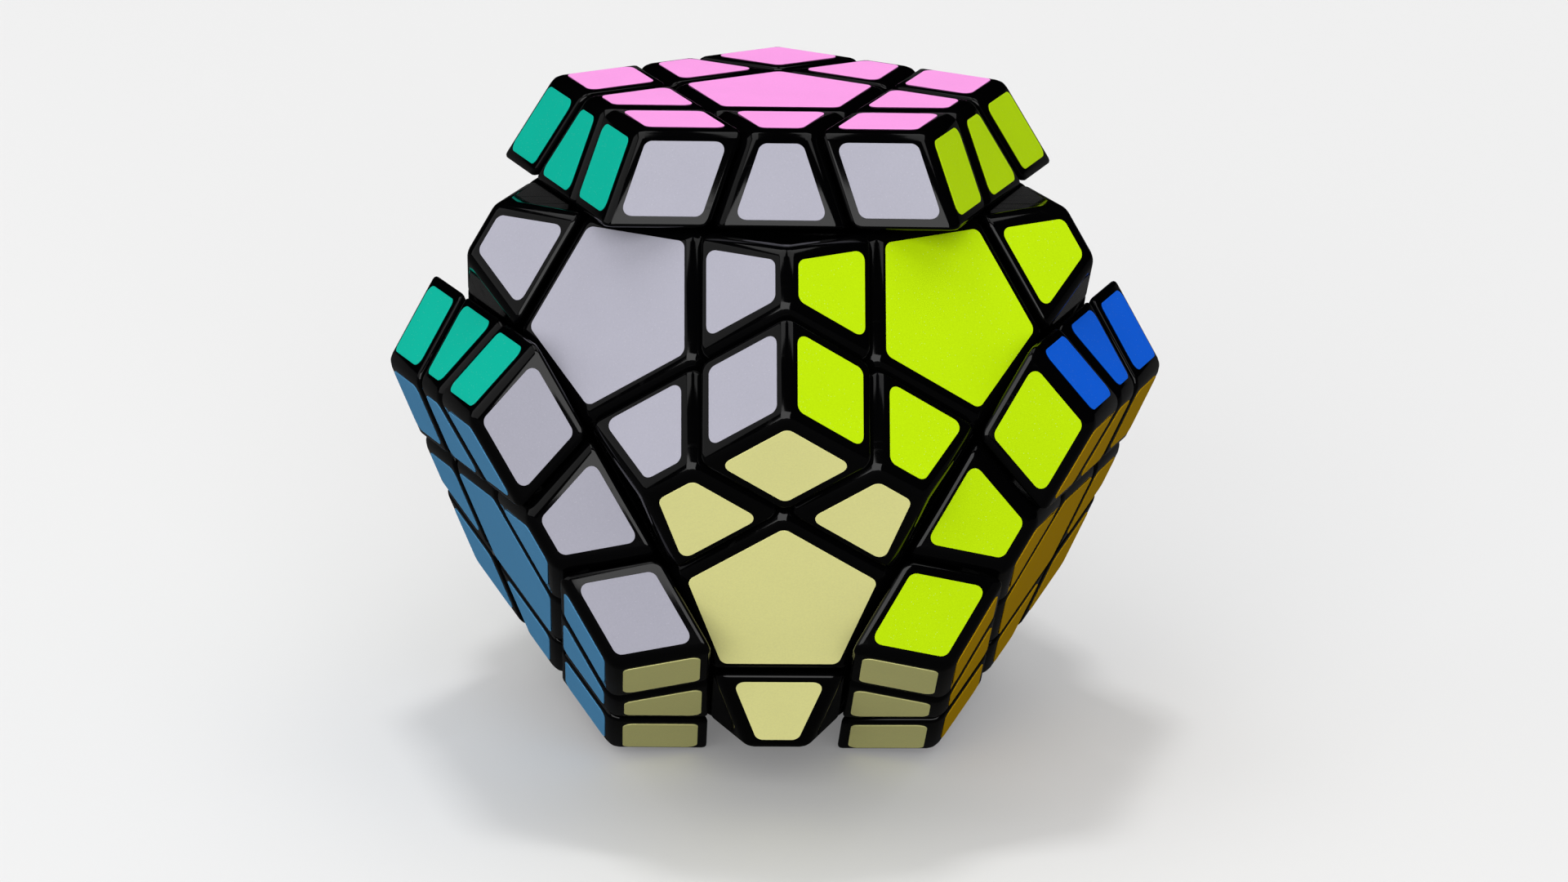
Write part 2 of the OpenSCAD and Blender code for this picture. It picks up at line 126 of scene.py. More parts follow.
def neighbours(face, other):
    return face != other and AXES[face].dot(AXES[other]) > NEIGHBOUR_COSINE


EDGES = [e for e in combinations(AXES, 2) if neighbours(*e)]
CORNERS = [c for c in combinations(AXES, 3) if all(neighbours(*e) for e in combinations(c, 2))]
LAYER_FACE = {"top": "pink", "left": "sky", "right": "gold"}
LAYER_BODY = {"top": "top_layer", "left": "left_layer", "right": "right_layer", "main": "main_body"}
LAYER_TURN = {"top": PART_TURN, "left": -PART_TURN, "right": PART_TURN, "main": 0}


def layer_of(faces):
    return next((name for name, face in LAYER_FACE.items() if face in faces), "main")


def layer_turn(layer):
    axis = AXES[LAYER_FACE.get(layer, "pink")]
    return Matrix.Rotation(math.radians(LAYER_TURN[layer]), 3, axis)


print("edges:", len(EDGES), "corners:", len(CORNERS))

# %% [markdown]
# ## A piece's own frame
#
# Every edge piece is the same shape, and so is every corner and every centre. We model each
# once, with its z axis pointing out of the puzzle, and then place copies. The matrix below
# lays a piece's z axis along one direction and leans its x axis towards another, and the
# layer's part-turn goes on top of that.

# %% Place of a piece
def place(layer, out, towards):
    z = out.normalized()
    x = (towards - z * towards.dot(z)).normalized()
    square = Matrix((x, z.cross(x), z)).transposed()
    return (layer_turn(layer) @ square).to_4x4()


def beside(face):
    """The axis of the first neighbour of a face."""
    return next(AXES[other] for other in AXES if neighbours(face, other))


CENTRE_PLACES = {(f,): place(layer_of((f,)), AXES[f], beside(f)) for f in AXES}
EDGE_PLACES = {
    e: place(layer_of(e), AXES[e[0]] + AXES[e[1]], AXES[e[1]] - AXES[e[0]]) for e in EDGES
}
CORNER_PLACES = {
    c: place(layer_of(c), AXES[c[0]] + AXES[c[1]] + AXES[c[2]], AXES[c[0]]) for c in CORNERS
}
print("places:", len(CENTRE_PLACES) + len(EDGE_PLACES) + len(CORNER_PLACES))

# %% [markdown]
# ## Measure the frame
#
# The flat sides of all pieces lie on a few planes: the faces, and both sides of each cut. We
# could type their distances again, but then the looks would not follow a change of the real
# sizes. So we ask the frame how far a node reaches along an axis.

# %% Heights above the centre of the core
def heights(node, axes):
    """How high each vertex of a node lies along the nearest of these axes."""
    return [max(v.co.dot(a) for a in axes) for v in frame["nodes"][node].data.vertices]


def outward(places):
    return [m.to_3x3().col[2] for m in places]


top_edges = outward([m for e, m in EDGE_PLACES.items() if layer_of(e) == "top"])
top_corners = outward([m for c, m in CORNER_PLACES.items() if layer_of(c) == "top"])
FACE_H = max(heights("top_centre_lid", [top_axis]))
CUT_UPPER = min(heights("top_corner_shells", [top_axis]))
CUT_LOWER = max(heights("main_edge_shells", [top_axis]))
EDGE_SPLIT = min(heights("top_edge_shells", top_edges))
CORNER_SPLIT = min(heights("top_corner_shells", top_corners))
LID_SEAT = max(heights("top_centre_base", [top_axis]))
SPIGOT_LOW = min(heights("top_centre_lid", [top_axis]))
measured = {
    "face": FACE_H, "cut, upper side": CUT_UPPER, "cut, lower side": CUT_LOWER,
    "foot of an edge shell": EDGE_SPLIT, "foot of a corner shell": CORNER_SPLIT,
    "seat of a lid": LID_SEAT, "end of its spigot": SPIGOT_LOW,
}
for name, height in measured.items():
    print(name, round(height / MM, 3), "mm")

# %% [markdown]
# ## Cut a block to planes
#
# An edge or a corner piece is a convex block with flat sides. It could be typed in as a list
# of points, but cutting is closer to how one thinks of it: start from a big cube and slice
# off everything outside each plane, and close the cut each time.

# %% Slicing a cube
CUBE_SIZE = 120 * MM
DOWN = Vector((0, 0, -1))


def slice_off(bm, normal, distance, close):
    """Removes what lies beyond a plane, and closes the cut or leaves it open."""
    everything = bm.verts[:] + bm.edges[:] + bm.faces[:]
    cut = bmesh.ops.bisect_plane(
        bm, geom=everything, plane_co=normal * distance, plane_no=normal, clear_outer=True
    )
    rim = [g for g in cut["geom_cut"] if isinstance(g, bmesh.types.BMEdge)]
    if close and rim:
        bmesh.ops.edgeloop_fill(bm, edges=rim)


def block(planes, low):
    """A cube cut to planes and to a level bottom."""
    bm = bmesh.new()
    bmesh.ops.create_cube(bm, size=CUBE_SIZE)
    for normal, distance in planes + [(DOWN, -low)]:
        slice_off(bm, normal, distance, close=True)
    bmesh.ops.recalc_face_normals(bm, faces=bm.faces[:])
    return bm


print("cube:", CUBE_SIZE / MM, "mm")

# %% [markdown]
# ## Round the edges
#
# Moulded plastic has no knife edges: every ridge is rounded, and the roundings are what catch
# the light between the stickers. Blunt ridges, like those between two faces, are rounded
# widely, and the sharp rims beside the cuts only a little. So we bevel twice, the blunt edges
# first, and then whatever still turns sharply. We bevel a block that is a little too deep,
# leave its bottom rim sharp, and trim it level afterwards, so that the roundings run on
# straight into the part below.

# %% A rounded block, open below
BLUNT_BEVEL = 1.15 * MM
SHARP_BEVEL = 0.85 * MM
BLUNT_STEPS = 7
SHARP_STEPS = 4
SQUARE = math.radians(90)
SHARP = math.radians(45)
TRIM = 3 * MM
NEAR = 0.001 * MM


def round_off(bm, sharp, bevel, steps, affect="EDGES"):
    bmesh.ops.bevel(
        bm, geom=sharp, offset=bevel, offset_type="OFFSET", segments=steps,
        profile=0.5, affect=affect, clamp_overlap=False, material=-1,
    )


def edges_above(bm, bottom):
    return [e for e in bm.edges if max(v.co.z for v in e.verts) > bottom]


def rounded_block(planes, low):
    bm = block(planes, low - TRIM)
    bottom = low - TRIM + NEAR
    blunt = [e for e in edges_above(bm, bottom) if e.calc_face_angle() < SQUARE]
    round_off(bm, blunt, BLUNT_BEVEL, BLUNT_STEPS)
    sharp = [e for e in edges_above(bm, bottom) if e.calc_face_angle() > SHARP]
    round_off(bm, sharp, SHARP_BEVEL, SHARP_STEPS)
    slice_off(bm, DOWN, -low, close=False)
    return bm


def open_rim(bm):
    return [e for e in bm.edges if e.is_boundary]


print("rounding starts", BLUNT_BEVEL / MM, "or", SHARP_BEVEL / MM, "mm from a ridge")

# %% [markdown]
# ## Hollow shells
#
# The outer half of an edge or a corner is a thin moulded shell that plugs onto its foot. The
# rounded block is its outside. A second, smaller block makes the pocket. Both are open at
# the same level, so filling the ring between their two rims closes the wall. Bridging the
# rims would do it too, but they have different numbers of points, and a bridge then twists.
# Normals are worked out last, on the whole closed skin. An edge piece leans from its two
# faces by half the angle between them, and a corner from its three faces by CORNER_LEAN.

# %% Shell of an edge or a corner
SHELL_WALL = 1.5 * MM


def joined(bm, other):
    """Adds another bmesh to this one."""
    carrier = bpy.data.meshes.new("carrier")
    other.to_mesh(carrier)
    other.free()
    bm.from_mesh(carrier)
    bpy.data.meshes.remove(carrier)


def describe(name, bm):
    holes = sum(not e.is_manifold for e in bm.edges)
    volume = round(bm.calc_volume() / MM**3, 2)
    print(name, len(bm.faces), "faces,", holes, "open edges,", volume, "cubic mm")


def hollow_shell(outside, pocket, split):
    bm = rounded_block(outside, split)
    inner = block(pocket, split - TRIM)
    slice_off(inner, DOWN, -split, close=False)
    joined(bm, inner)
    bmesh.ops.triangle_fill(bm, edges=open_rim(bm), use_beauty=True, normal=DOWN)
    bmesh.ops.recalc_face_normals(bm, faces=bm.faces[:])
    return bm


EDGE_FACES = [lean(FACE_ANGLE / 2, 180), lean(FACE_ANGLE / 2, 0)]
EDGE_ENDS = [lean(math.pi / 2 - FACE_ANGLE / 2, turn) for turn in (90, 270)]
CORNER_LEAN = math.acos(math.sqrt((5 + 2 * math.sqrt(5)) / 15))
CORNER_FACES = [lean(CORNER_LEAN, turn) for turn in (0, 120, 240)]


def edge_planes(inset):
    faces = [(n, FACE_H - inset) for n in EDGE_FACES]
    undersides = [(-n, -CUT_UPPER - inset) for n in EDGE_FACES]
    ends = [(n, CUT_LOWER - inset) for n in EDGE_ENDS]
    return faces + undersides + ends


def corner_planes(inset):
    faces = [(n, FACE_H - inset) for n in CORNER_FACES]
    return faces + [(-n, -CUT_UPPER - inset) for n in CORNER_FACES]


edge_shell = hollow_shell(edge_planes(0), edge_planes(SHELL_WALL), EDGE_SPLIT)
corner_shell = hollow_shell(corner_planes(0), corner_planes(SHELL_WALL), CORNER_SPLIT)
describe("edge shell", edge_shell)
describe("corner shell", corner_shell)

# %% [markdown]
# ## Lids of the centres
#
# A centre is closed by a five-sided lid, which hides the screw and its spring. Below the lid
# a round spigot fits into the bore. We fill the ring between the lid's open rim and a circle,
# pull the circle's edge down and cap it, so that lid and spigot are one closed skin.

# %% Lid with its spigot
SIDES = 5
SPIGOT_STEPS = 40
SPIGOT_R = 2.9 * MM


def lid_planes():
    sides = [(lean(FACE_ANGLE, k * 360 / SIDES), CUT_LOWER) for k in range(SIDES)]
    return [(Vector((0, 0, 1)), FACE_H)] + sides


def make_lid():
    bm = rounded_block(lid_planes(), LID_SEAT)
    rim = open_rim(bm)
    at_seat = Matrix.Translation((0, 0, LID_SEAT))
    ring = bmesh.ops.create_circle(bm, radius=SPIGOT_R, segments=SPIGOT_STEPS, matrix=at_seat)["verts"]
    loop = list({e for v in ring for e in v.link_edges})
    bmesh.ops.triangle_fill(bm, edges=rim + loop, use_beauty=True, normal=DOWN)
    pulled = bmesh.ops.extrude_edge_only(bm, edges=loop)["geom"]
    end = [g for g in pulled if isinstance(g, bmesh.types.BMVert)]
    bmesh.ops.translate(bm, vec=(0, 0, SPIGOT_LOW - LID_SEAT), verts=end)
    bmesh.ops.edgeloop_fill(bm, edges=[g for g in pulled if isinstance(g, bmesh.types.BMEdge)])
    bmesh.ops.recalc_face_normals(bm, faces=bm.faces[:])
    return bm


centre_lid = make_lid()
describe("lid", centre_lid)

# %% [markdown]
# ## Stickers
#
# Stickers are punched from coloured vinyl. A punched shape is a straight-sided outline with
# round corners, so we cut a square sheet along straight lines, round its corners with a
# vertex bevel, give it its thickness, and roll its upper rim over slightly, as the punch
# does. A line is the direction in which it faces and its distance from the face's middle.

# %% Punching a sticker
STICKER_T = 0.08 * MM
STICKER_R = 1.0 * MM
STICKER_STEPS = 7
RIM_ROLL = 0.035 * MM
RIM_STEPS = 3


def round_corners(bm):
    for corner in bm.verts[:]:
        a, b = [e.other_vert(corner).co - corner.co for e in corner.link_edges]
        turn = math.pi - a.angle(b)
        round_off(bm, [corner], STICKER_R * math.tan(turn / 2), STICKER_STEPS, "VERTICES")


def punched_sticker(lines):
    bm = bmesh.new()
    bmesh.ops.create_grid(bm, x_segments=1, y_segments=1, size=CUBE_SIZE / 2)
    for direction, distance in lines:
        slice_off(bm, lean(math.pi / 2, direction), distance, close=False)
    round_corners(bm)
    bmesh.ops.translate(bm, vec=(0, 0, FACE_H), verts=bm.verts[:])
    sheet = bm.faces[:]
    raised = bmesh.ops.extrude_face_region(bm, geom=sheet, use_keep_orig=True)["geom"]
    top = [g for g in raised if isinstance(g, bmesh.types.BMVert)]
    bmesh.ops.translate(bm, vec=(0, 0, STICKER_T), verts=top)
    bmesh.ops.recalc_face_normals(bm, faces=bm.faces[:])
    rim = [e for e in bm.edges if all(v.co.z > FACE_H + STICKER_T / 2 for v in e.verts)]
    round_off(bm, rim, RIM_ROLL, RIM_STEPS)
    return bm


print("stickers are", STICKER_T / MM, "mm thick, with corners of radius", STICKER_R / MM, "mm")

# %% [markdown]
# The outlines come from the photograph: each leaves a black margin to the cuts and to the
# outer ridge. On a face, the cuts lie on a small pentagon and the ridges on a large one.

# %% Outlines of the three kinds of sticker
CENTRE_MARGIN = 1.35 * MM
EDGE_MARGINS = {"outer": 1.45 * MM, "inner": 1.4 * MM, "side": 1.75 * MM}
CORNER_MARGINS = {"outer": 1.3 * MM, "inner": 1.7 * MM}
SIDE_STEP = 360 / SIDES
cut_h = (CUT_UPPER + CUT_LOWER) / 2
ridge_apothem = FACE_H * math.tan(FACE_ANGLE / 2)
cut_apothem = (cut_h - FACE_H * math.cos(FACE_ANGLE)) / math.sin(FACE_ANGLE)

centre_sticker = punched_sticker([(k * SIDE_STEP, cut_apothem - CENTRE_MARGIN) for k in range(SIDES)])
edge_sticker = punched_sticker([
    (0, ridge_apothem - EDGE_MARGINS["outer"]),
    (SIDE_STEP, cut_apothem - EDGE_MARGINS["side"]),
    (180, -cut_apothem - EDGE_MARGINS["inner"]),
    (-SIDE_STEP, cut_apothem - EDGE_MARGINS["side"]),
])
corner_sticker = punched_sticker([
    (SIDE_STEP / 2, ridge_apothem - CORNER_MARGINS["outer"]),
    (180 - SIDE_STEP / 2, -cut_apothem - CORNER_MARGINS["inner"]),
    (180 + SIDE_STEP / 2, -cut_apothem - CORNER_MARGINS["inner"]),
    (-SIDE_STEP / 2, ridge_apothem - CORNER_MARGINS["outer"]),
])
describe("centre sticker", centre_sticker)
describe("edge sticker", edge_sticker)
describe("corner sticker", corner_sticker)

# %% [markdown]
# ## Shader maths
#
# Materials here are nodes. Wiring them by hand is slow to read, so a small class lets us
# write sums on values that change over a surface as plain Python: each operator adds a Math
# node. Every other node comes from one method that sets the node up and fills its sockets.

# %% Values and finishes
class Level:
    """A value that changes over the surface, with Python's arithmetic."""

    def __init__(self, finish, socket):
        self.finish = finish
        self.socket = socket

    def maths(self, operation, first, second):
        return self.finish.node("ShaderNodeMath", {"operation": operation}, {0: first, 1: second})

    def __add__(self, other):
        return self.maths("ADD", self, other)

    def __sub__(self, other):
        return self.maths("SUBTRACT", self, other)

    def __rsub__(self, other):
        return self.maths("SUBTRACT", other, self)

    def __mul__(self, other):
        return self.maths("MULTIPLY", self, other)

    __radd__ = __add__
    __rmul__ = __mul__


class Finish:
    """One material: its node tree and its main shader."""

    def __init__(self, name):
        self.material = bpy.data.materials.new(name)
        self.material.use_nodes = True
        self.tree = self.material.node_tree
        self.shader = self.tree.nodes["Principled BSDF"]

    def fill(self, sockets, values):
        for key, value in values.items():
            if isinstance(value, Level):
                self.tree.links.new(value.socket, sockets[key])
            else:
                sockets[key].default_value = value

    def node(self, kind, settings, values, output=0):
        made = self.tree.nodes.new(kind)
        for key, value in settings.items():
            setattr(made, key, value)
        self.fill(made.inputs, values)
        return Level(self, made.outputs[output])

    def surface(self, **values):
        self.fill(self.shader.inputs, {key.replace("_", " "): value for key, value in values.items()})
        print("finish:", self.material.name, len(self.tree.nodes), "nodes")
        return self.material


print("shader maths ready")

# %% [markdown]
# A few helpers cover all patterns. Noise gives clouds and grain, a smooth step picks
# out its peaks, and a mix lays one colour over another. All patterns read Object coordinates
# in metres, so a scale of 1000 means features of about a millimetre, and they stay with a
# piece when its layer turns.

# %% Patterns
FACTOR, FIRST_COLOUR, SECOND_COLOUR, COLOUR_OUT = 0, 6, 7, 2
OBJECT_COORDINATES = 3


def place_on(finish, stretch=(1, 1, 1)):
    where = finish.node("ShaderNodeTexCoord", {}, {}, OBJECT_COORDINATES)
    return finish.node("ShaderNodeMapping", {"vector_type": "POINT"}, {"Vector": where, "Scale": stretch})


def noise(finish, per_metre, detail=2.0, stretch=(1, 1, 1)):
    sockets = {"Vector": place_on(finish, stretch), "Scale": per_metre, "Detail": detail}
    return finish.node("ShaderNodeTexNoise", {}, sockets)


def peaks(finish, value, low, high):
    sockets = {"Value": value, "From Min": low, "From Max": high}
    return finish.node("ShaderNodeMapRange", {"interpolation_type": "SMOOTHSTEP"}, sockets)


def mixed(finish, factor, first, second):
    sockets = {FACTOR: factor, FIRST_COLOUR: first, SECOND_COLOUR: second}
    return finish.node("ShaderNodeMix", {"data_type": "RGBA"}, sockets, COLOUR_OUT)


def relief(finish, height, depth, strength):
    sockets = {"Height": height, "Distance": depth, "Strength": strength}
    return finish.node("ShaderNodeBump", {}, sockets)


def linear(value):
    """A screen level from 0 to 255 as light, by the standard curve of screens."""
    share = value / 255
    return share / 12.92 if share <= 0.04045 else ((share + 0.055) / 1.055) ** 2.4


def paint(red, green, blue, shade=1.0):
    """A screen colour from 0 to 255 as the shader wants it."""
    return (linear(red) * shade, linear(green) * shade, linear(blue) * shade, 1.0)


print("grey 128 is", round(linear(128), 3), "in light")

# %% [markdown]
# ## Glossy black plastic
#
# The shells are moulded in black plastic with a polished tool. Polished does not mean
# perfect: the skin has a faint ripple, a few fine rubbed streaks from turning, and dull
# patches where fingers hold it. These change the roughness and the bump and hardly touch the
# colour, so the plastic stays black and its reflections break up softly.

# %% Finish of the shells
def black_plastic():
    finish = Finish("glossy_black_plastic")
    cloud = noise(finish, per_metre=70, detail=3)
    ripple = noise(finish, per_metre=420, detail=2)
    grain = noise(finish, per_metre=5200, detail=1)
    rubbing = noise(finish, per_metre=60, detail=4, stretch=(1, 30, 6))
    streaks = peaks(finish, rubbing, low=0.60, high=0.72)
    colour = mixed(finish, cloud, paint(1, 1, 1), paint(4, 4, 5))
    return finish.surface(
        Base_Color=colour,
        Roughness=0.06 + 0.05 * cloud + 0.08 * streaks,
        Specular_IOR_Level=0.27,
        Normal=relief(finish, ripple + 0.08 * grain, depth=0.004 * MM, strength=0.35),
    )


BLACK = black_plastic()

# %% [markdown]
# ## Satin vinyl
#
# A sticker's colour is even, but the vinyl has a fine pebbled grain, a few bright specks of painted
# glint, and a satin sheen. The grain is about a fifth of a millimetre. It tints the colour
# by a few percent and roughens the surface through a bump. The painted glints are white mixed into
# the colour. Peaks of noise would make them like little commas, so they are round spots about the
# cell centres of a Voronoi pattern, and only those centres show that happen to lie near the surface.

# %% Finishes of the twelve colours
VINYL = {
    "pink": (254, 160, 234), "grey": (172, 171, 184), "lime": (197, 238, 8),
    "blue": (4, 100, 235), "red": (200, 30, 40), "teal": (8, 188, 163),
    "cream": (254, 251, 168), "gold": (238, 186, 9), "white": (240, 240, 238),
    "green": (31, 122, 60), "sky": (101, 175, 228), "purple": (106, 63, 160),
}


def spots(finish, per_metre):
    sockets = {"Vector": place_on(finish), "Scale": per_metre}
    return finish.node("ShaderNodeTexVoronoi", {"feature": "F1"}, sockets)


def satin_vinyl(colour):
    finish = Finish(colour + "_satin_vinyl")
    grain = noise(finish, per_metre=4600, detail=2)
    cloud = noise(finish, per_metre=140, detail=3)
    # Painted glints: white spots mixed into the sticker's base colour.
    glint_specks = 1 - peaks(finish, spots(finish, per_metre=2400), low=0.05, high=0.13)
    darker = paint(*VINYL[colour], shade=0.90)
    lighter = paint(*VINYL[colour], shade=1.08)
    tone = mixed(finish, 0.65 * grain + 0.35 * cloud, darker, lighter)
    lit = mixed(finish, 0.2 * glint_specks, tone, paint(255, 255, 255))
    return finish.surface(
        Base_Color=lit,
        Roughness=0.44 + 0.12 * grain + 0.06 * cloud,
        Specular_IOR_Level=0.04,
        Normal=relief(finish, grain, depth=0.01 * MM, strength=0.35),
    )


VINYLS = {colour: satin_vinyl(colour) for colour in VINYL}

# %% [markdown]
# ## Nylon and steel inside
#
# The core is grey nylon with a dull moulded skin. Screws, washers and springs are plated
# steel with fine drawn lines. They only show when the puzzle is taken apart, but a part in a
# library is looked at from inside too.

# %% Finishes of the hidden parts
def grey_nylon():
    finish = Finish("dull_grey_nylon")
    cloud = noise(finish, per_metre=180, detail=4)
    skin = noise(finish, per_metre=2600, detail=3)
    return finish.surface(
        Base_Color=mixed(finish, cloud, paint(54, 56, 60), paint(68, 70, 75)),
        Roughness=0.48 + 0.2 * skin,
        Normal=relief(finish, skin, depth=0.02 * MM, strength=0.4),
    )


def plated_steel():
    finish = Finish("plated_steel")
    lines = noise(finish, per_metre=300, detail=3, stretch=(1, 1, 14))
    tarnish = noise(finish, per_metre=240, detail=4)
    return finish.surface(
        Base_Color=mixed(finish, tarnish, paint(168, 170, 174), paint(198, 199, 201)),
        Metallic=1.0,
        Roughness=0.22 + 0.18 * lines + 0.08 * tarnish,
        Normal=relief(finish, lines, depth=0.01 * MM, strength=0.3),
    )


NYLON = grey_nylon()
STEEL = plated_steel()

# %% [markdown]
# ## Put the pieces in place
#
# Each CAD node holds one kind of piece in one layer. For each we copy the modelled piece to
# all its places, in one new object that rides on the layer's body and stands for the node.
# Smooth shading lets the light on a rounding run on softly into the black margins beside it,
# as it does in the photograph.

# %% From a modelled piece to an object
def kept_mesh(bm, name):
    mesh = bpy.data.meshes.new(name)
    bm.to_mesh(mesh)
    bm.free()
    return mesh


def set_of(mesh, matrices):
    bm = bmesh.new()
    for matrix in matrices:
        before = len(bm.verts)
        bm.from_mesh(mesh)
        bm.verts.ensure_lookup_table()
        bmesh.ops.transform(bm, matrix=matrix, verts=bm.verts[before:])
    return bm


def finished_piece(name, bm, material, layer, node):
    for face in bm.faces:
        face.smooth = True
    piece = bpy.data.objects.new(name, kept_mesh(bm, name))
    bpy.context.scene.collection.objects.link(piece)
    piece.data.materials.append(material)
    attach(piece, LAYER_BODY[layer])
    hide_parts(node)
    return piece


def how_far_off(piece, node):
    """How far a new piece's box departs from that of the node it stands for."""
    points = [v.co for v in piece.data.vertices]
    low = [min(p[i] for p in points) for i in range(3)]
    high = [max(p[i] for p in points) for i in range(3)]
    cad_low, cad_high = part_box(node)
    return max(abs(a - b) for a, b in zip(low + high, list(cad_low) + list(cad_high))) / MM


print("CAD box:", [tuple(round(x / MM, 1) for x in corner) for corner in cad_box])

# %% [markdown]
# The shells and lids come first. The node names follow the layers: the main body has many
# centres, and a turned layer has one.

# %% Black shells and lids
SHELL_KINDS = {
    "centre_lid": (kept_mesh(centre_lid, "centre_lid"), CENTRE_PLACES),
    "edge_shells": (kept_mesh(edge_shell, "edge_shell"), EDGE_PLACES),
    "corner_shells": (kept_mesh(corner_shell, "corner_shell"), CORNER_PLACES),
}
for layer in LAYER_BODY:
    for kind, (mesh, places) in SHELL_KINDS.items():
        node = f"{layer}_{kind}" + ("s" if (layer, kind) == ("main", "centre_lid") else "")
        here = [m for faces, m in places.items() if layer_of(faces) == layer]
        piece = finished_piece("rounded_" + node, set_of(mesh, here), BLACK, layer, node)
        print(piece.name, len(here), "copies, off by", round(how_far_off(piece, node), 3), "mm")

# %% [markdown]
# A sticker lies on a face, so its z axis is the face's. Its x axis points to the edge or the
# corner that it is stuck on. One object holds all stickers of one colour in one layer. A
# piece shows one, two or three faces, so that number picks the kind of sticker. Weighted
# normals keep the tops flat right up to the rolled rims.

# %% Stickers of each colour and layer
FLAT_WEIGHT = 100
STICKER_MESHES = {
    1: kept_mesh(centre_sticker, "centre_sticker"),
    2: kept_mesh(edge_sticker, "edge_sticker"),
    3: kept_mesh(corner_sticker, "corner_sticker"),
}


def sticker_places(colour, layer):
    """How many faces each piece with this colour shows, and its sticker's place."""
    for faces in [*CENTRE_PLACES, *EDGE_PLACES, *CORNER_PLACES]:
        if colour in faces and layer_of(faces) == layer:
            others = [AXES[f] for f in faces if f != colour] or [beside(colour)]
            yield len(faces), place(layer, AXES[colour], sum(others, Vector()))


for layer in LAYER_BODY:
    for colour in AXES:
        node = f"{layer}_{colour}_stickers"
        if node not in frame["nodes"]:
            continue
        sheet = bmesh.new()
        for kind, matrix in sticker_places(colour, layer):
            joined(sheet, set_of(STICKER_MESHES[kind], [matrix]))
        piece = finished_piece("vinyl_" + node, sheet, VINYLS[colour], layer, node)
        flats = piece.modifiers.new("flat tops", "WEIGHTED_NORMAL")
        flats.mode = "FACE_AREA"
        flats.weight = FLAT_WEIGHT
        print(piece.name, "off by", round(how_far_off(piece, node), 3), "mm")

# %% [markdown]
# The feet, the bases of the centres, the core and its metal parts keep their solids, and only
# get their finishes.

# %% Finishes of the kept solids
KEPT_FINISHES = {"core": NYLON, "screws": STEEL, "springs": STEEL, "washers": STEEL}
for name, solid in frame["nodes"].items():
    if solid.hide_render:
        continue
    solid.data.materials.clear()
    solid.data.materials.append(KEPT_FINISHES.get(name, BLACK))
    print("kept", name)

# %% [markdown]
# ## Pale floor
#
# The puzzle stands on a plain pale floor, which could be one flat colour. But a white floor
# throws light up under the puzzle and turns its black sides grey, and the photograph has
# neither. So Light Path tells the floor who is looking: the camera sees it pale, with a
# little glow that lifts the shadow, and bounced light and reflections see it darker.

# %% Pale floor
FLOOR_SIZE = 12.0
SEEING_RAYS = {"Is Camera Ray": 1.0, "Is Glossy Ray": 0.03, "Is Transmission Ray": 1.0}
PALE = paint(196, 196, 196)
PALER = paint(199, 199, 199)
GLOW = paint(98, 98, 98)
DARK = paint(32, 32, 32)
NO_GLOW = paint(0, 0, 0)


def seen_directly(finish):
    rays = SEEING_RAYS.items()
    return sum(share * finish.node("ShaderNodeLightPath", {}, {}, ray) for ray, share in rays)


def pale_floor():
    finish = Finish("pale_floor")
    pale = mixed(finish, noise(finish, per_metre=3, detail=2), PALE, PALER)
    seen = seen_directly(finish)
    return finish.surface(
        Base_Color=mixed(finish, seen, DARK, pale),
        Emission_Color=mixed(finish, seen, NO_GLOW, GLOW),
        Emission_Strength=1.0,
        Roughness=0.9,
        Specular_IOR_Level=0.1,
    )


bm = bmesh.new()
bmesh.ops.create_grid(bm, x_segments=1, y_segments=1, size=FLOOR_SIZE / 2)
bmesh.ops.translate(bm, vec=(0, 0, cad_box[0].z), verts=bm.verts[:])
floor = bpy.data.objects.new("floor", kept_mesh(bm, "floor"))
floor.data.materials.append(pale_floor())
bpy.context.scene.collection.objects.link(floor)
print("floor at", round(cad_box[0].z / MM, 2), "mm")

# %% [markdown]
# ## Soft lights
#
# The light is that of a small studio: a large softbox in front, a weaker one on the left,
# two above and one behind, low down. One lamp over the middle would do, but the rounded ridge
# along the front of the top layer would mirror it as a hard white line. Between two lamps it
# mirrors a dark strip. The lamp behind would show in that ridge too, so reflections don't
# see it.

# %% Softboxes
def softbox(name, spot, size, watts):
    """A soft rectangular lamp, aimed at the puzzle. Its sizes and its spot are in metres."""
    lamp = bpy.data.lights.new(name, "AREA")
    lamp.shape = "RECTANGLE"
    lamp.size, lamp.size_y = size
    lamp.energy = watts
    holder = bpy.data.objects.new(name, lamp)
    holder.location = spot
    holder.rotation_euler = (-Vector(spot)).to_track_quat("-Z", "Y").to_euler()
    bpy.context.scene.collection.objects.link(holder)
    print(name, size, "m,", watts, "W")
    return holder


softbox("overhead_left_softbox", (-0.75, 0.1, 2.0), (2.0, 1.1), 9)
softbox("overhead_right_softbox", (0.75, 0.1, 2.0), (2.0, 1.1), 8)
softbox("front_softbox", (-0.36, -2.67, 1.28), (3.4, 2.49), 77)
softbox("left_softbox", (-2.5, -0.4, 1.25), (3.0, 2.4), 13)
back_softbox = softbox("back_softbox", (0.2, 2.6, 0.55), (3.0, 1.0), 24)
back_softbox.visible_glossy = False

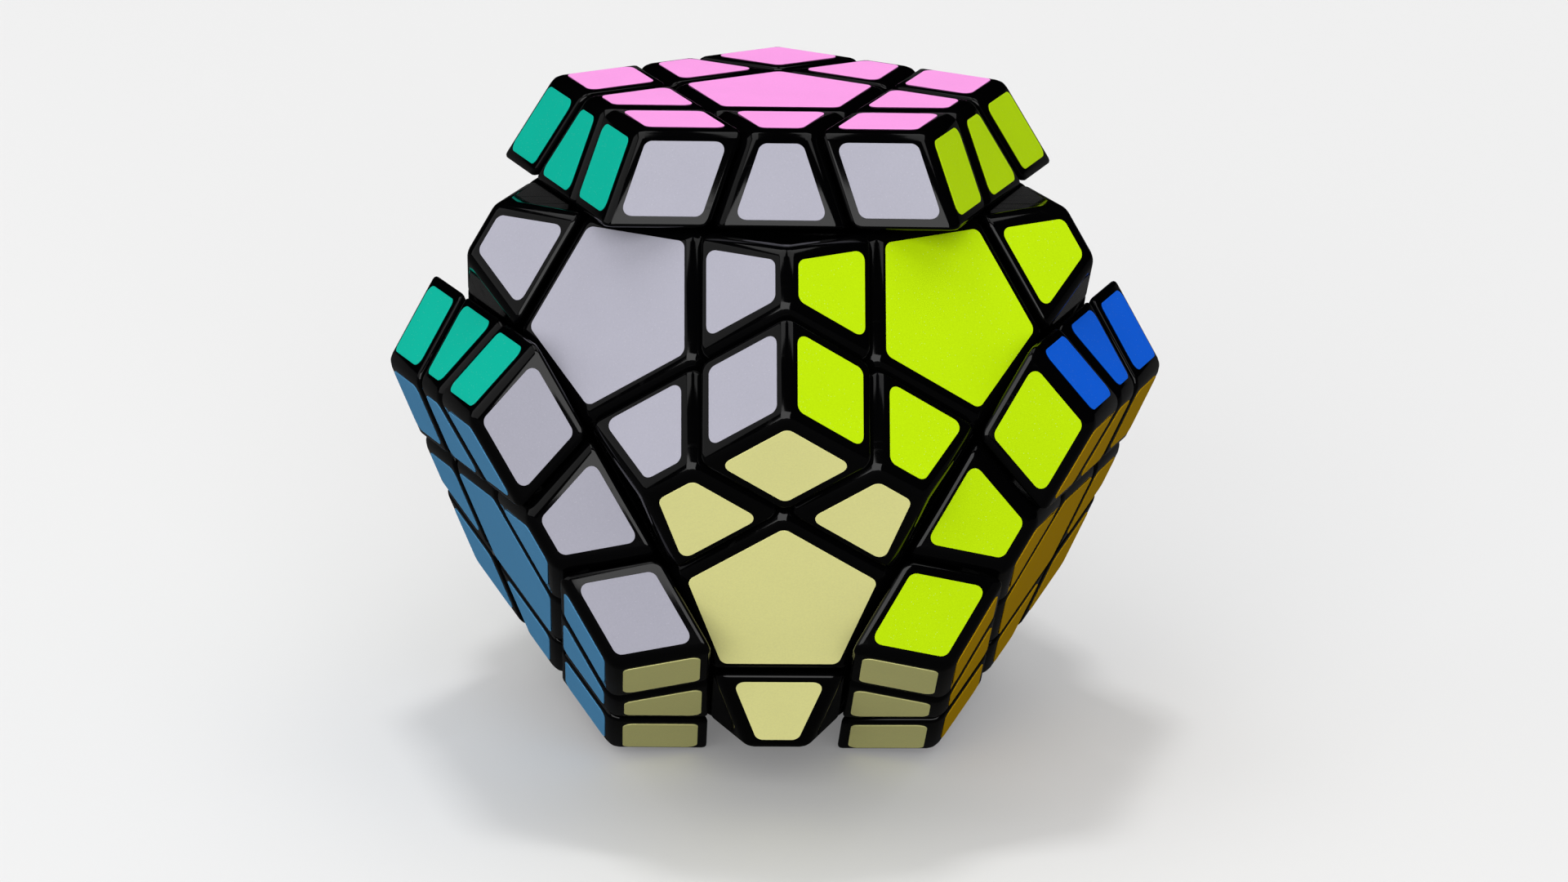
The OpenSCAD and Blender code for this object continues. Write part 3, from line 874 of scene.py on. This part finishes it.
# %% [markdown]
# Such soft light alone leaves a shadow without an edge, and the photograph's has one. A
# smaller lamp above draws it. On the puzzle the same lamp would draw hard shadows below the
# top layer, where the photograph has only a soft shade. Light linking lets it light the floor
# and nothing else.

# %% A lamp for the floor alone
shadow_lamp = softbox("shadow_lamp", (-0.1, 0.2, 2.0), (0.3, 0.3), 12)
lit_alone = bpy.data.collections.new("lit_by_shadow_lamp")
lit_alone.objects.link(floor)
shadow_lamp.light_linking.receiver_collection = lit_alone

# %% [markdown]
# The last light comes evenly from all around and softens every shade. Polished plastic would
# mirror it and turn grey, so reflections don't see it.

# %% Light from all around
SURROUNDING = 0.41
world = bpy.data.worlds.new("surrounding")
world.use_nodes = True
surrounding = world.node_tree.nodes["Background"]
surrounding.inputs["Color"].default_value = paint(255, 255, 255)
surrounding.inputs["Strength"].default_value = SURROUNDING
world.cycles_visibility.glossy = False
bpy.context.scene.world = world
bpy.context.scene.view_settings.view_transform = "Standard"
print("surrounding light", SURROUNDING)

# %% [markdown]
# The camera stands where the photograph was taken from, with a long lens. Its place, aim and
# small roll were found by matching the outlines of the stickers.

# %% Camera
CAMERA_EYE = Vector((-25.4, -812.7, 321.3)) * MM
CAMERA_AIM = Vector((0.95, -1.90, -4.66)) * MM
CAMERA_ROLL = math.radians(1.04)
LENS_MM = 178.43
SENSOR_MM = 36

lens = bpy.data.cameras.new("camera")
lens.lens = LENS_MM
lens.sensor_width = SENSOR_MM
camera = bpy.data.objects.new("camera", lens)
camera.location = CAMERA_EYE
without_roll = (CAMERA_AIM - CAMERA_EYE).to_track_quat("-Z", "Y")
camera.rotation_mode = "QUATERNION"
camera.rotation_quaternion = without_roll @ Quaternion((0, 0, 1), CAMERA_ROLL)
bpy.context.scene.collection.objects.link(camera)
bpy.context.scene.camera = camera
print("camera", round((CAMERA_AIM - CAMERA_EYE).length, 3), "m away")

# %% [markdown]
# ## Compare the sizes and finish
#
# The looks must not change the puzzle's size, so we write the box of the solids and the box
# of the finished model side by side.

# %% Sizes
bpy.context.view_layer.update()
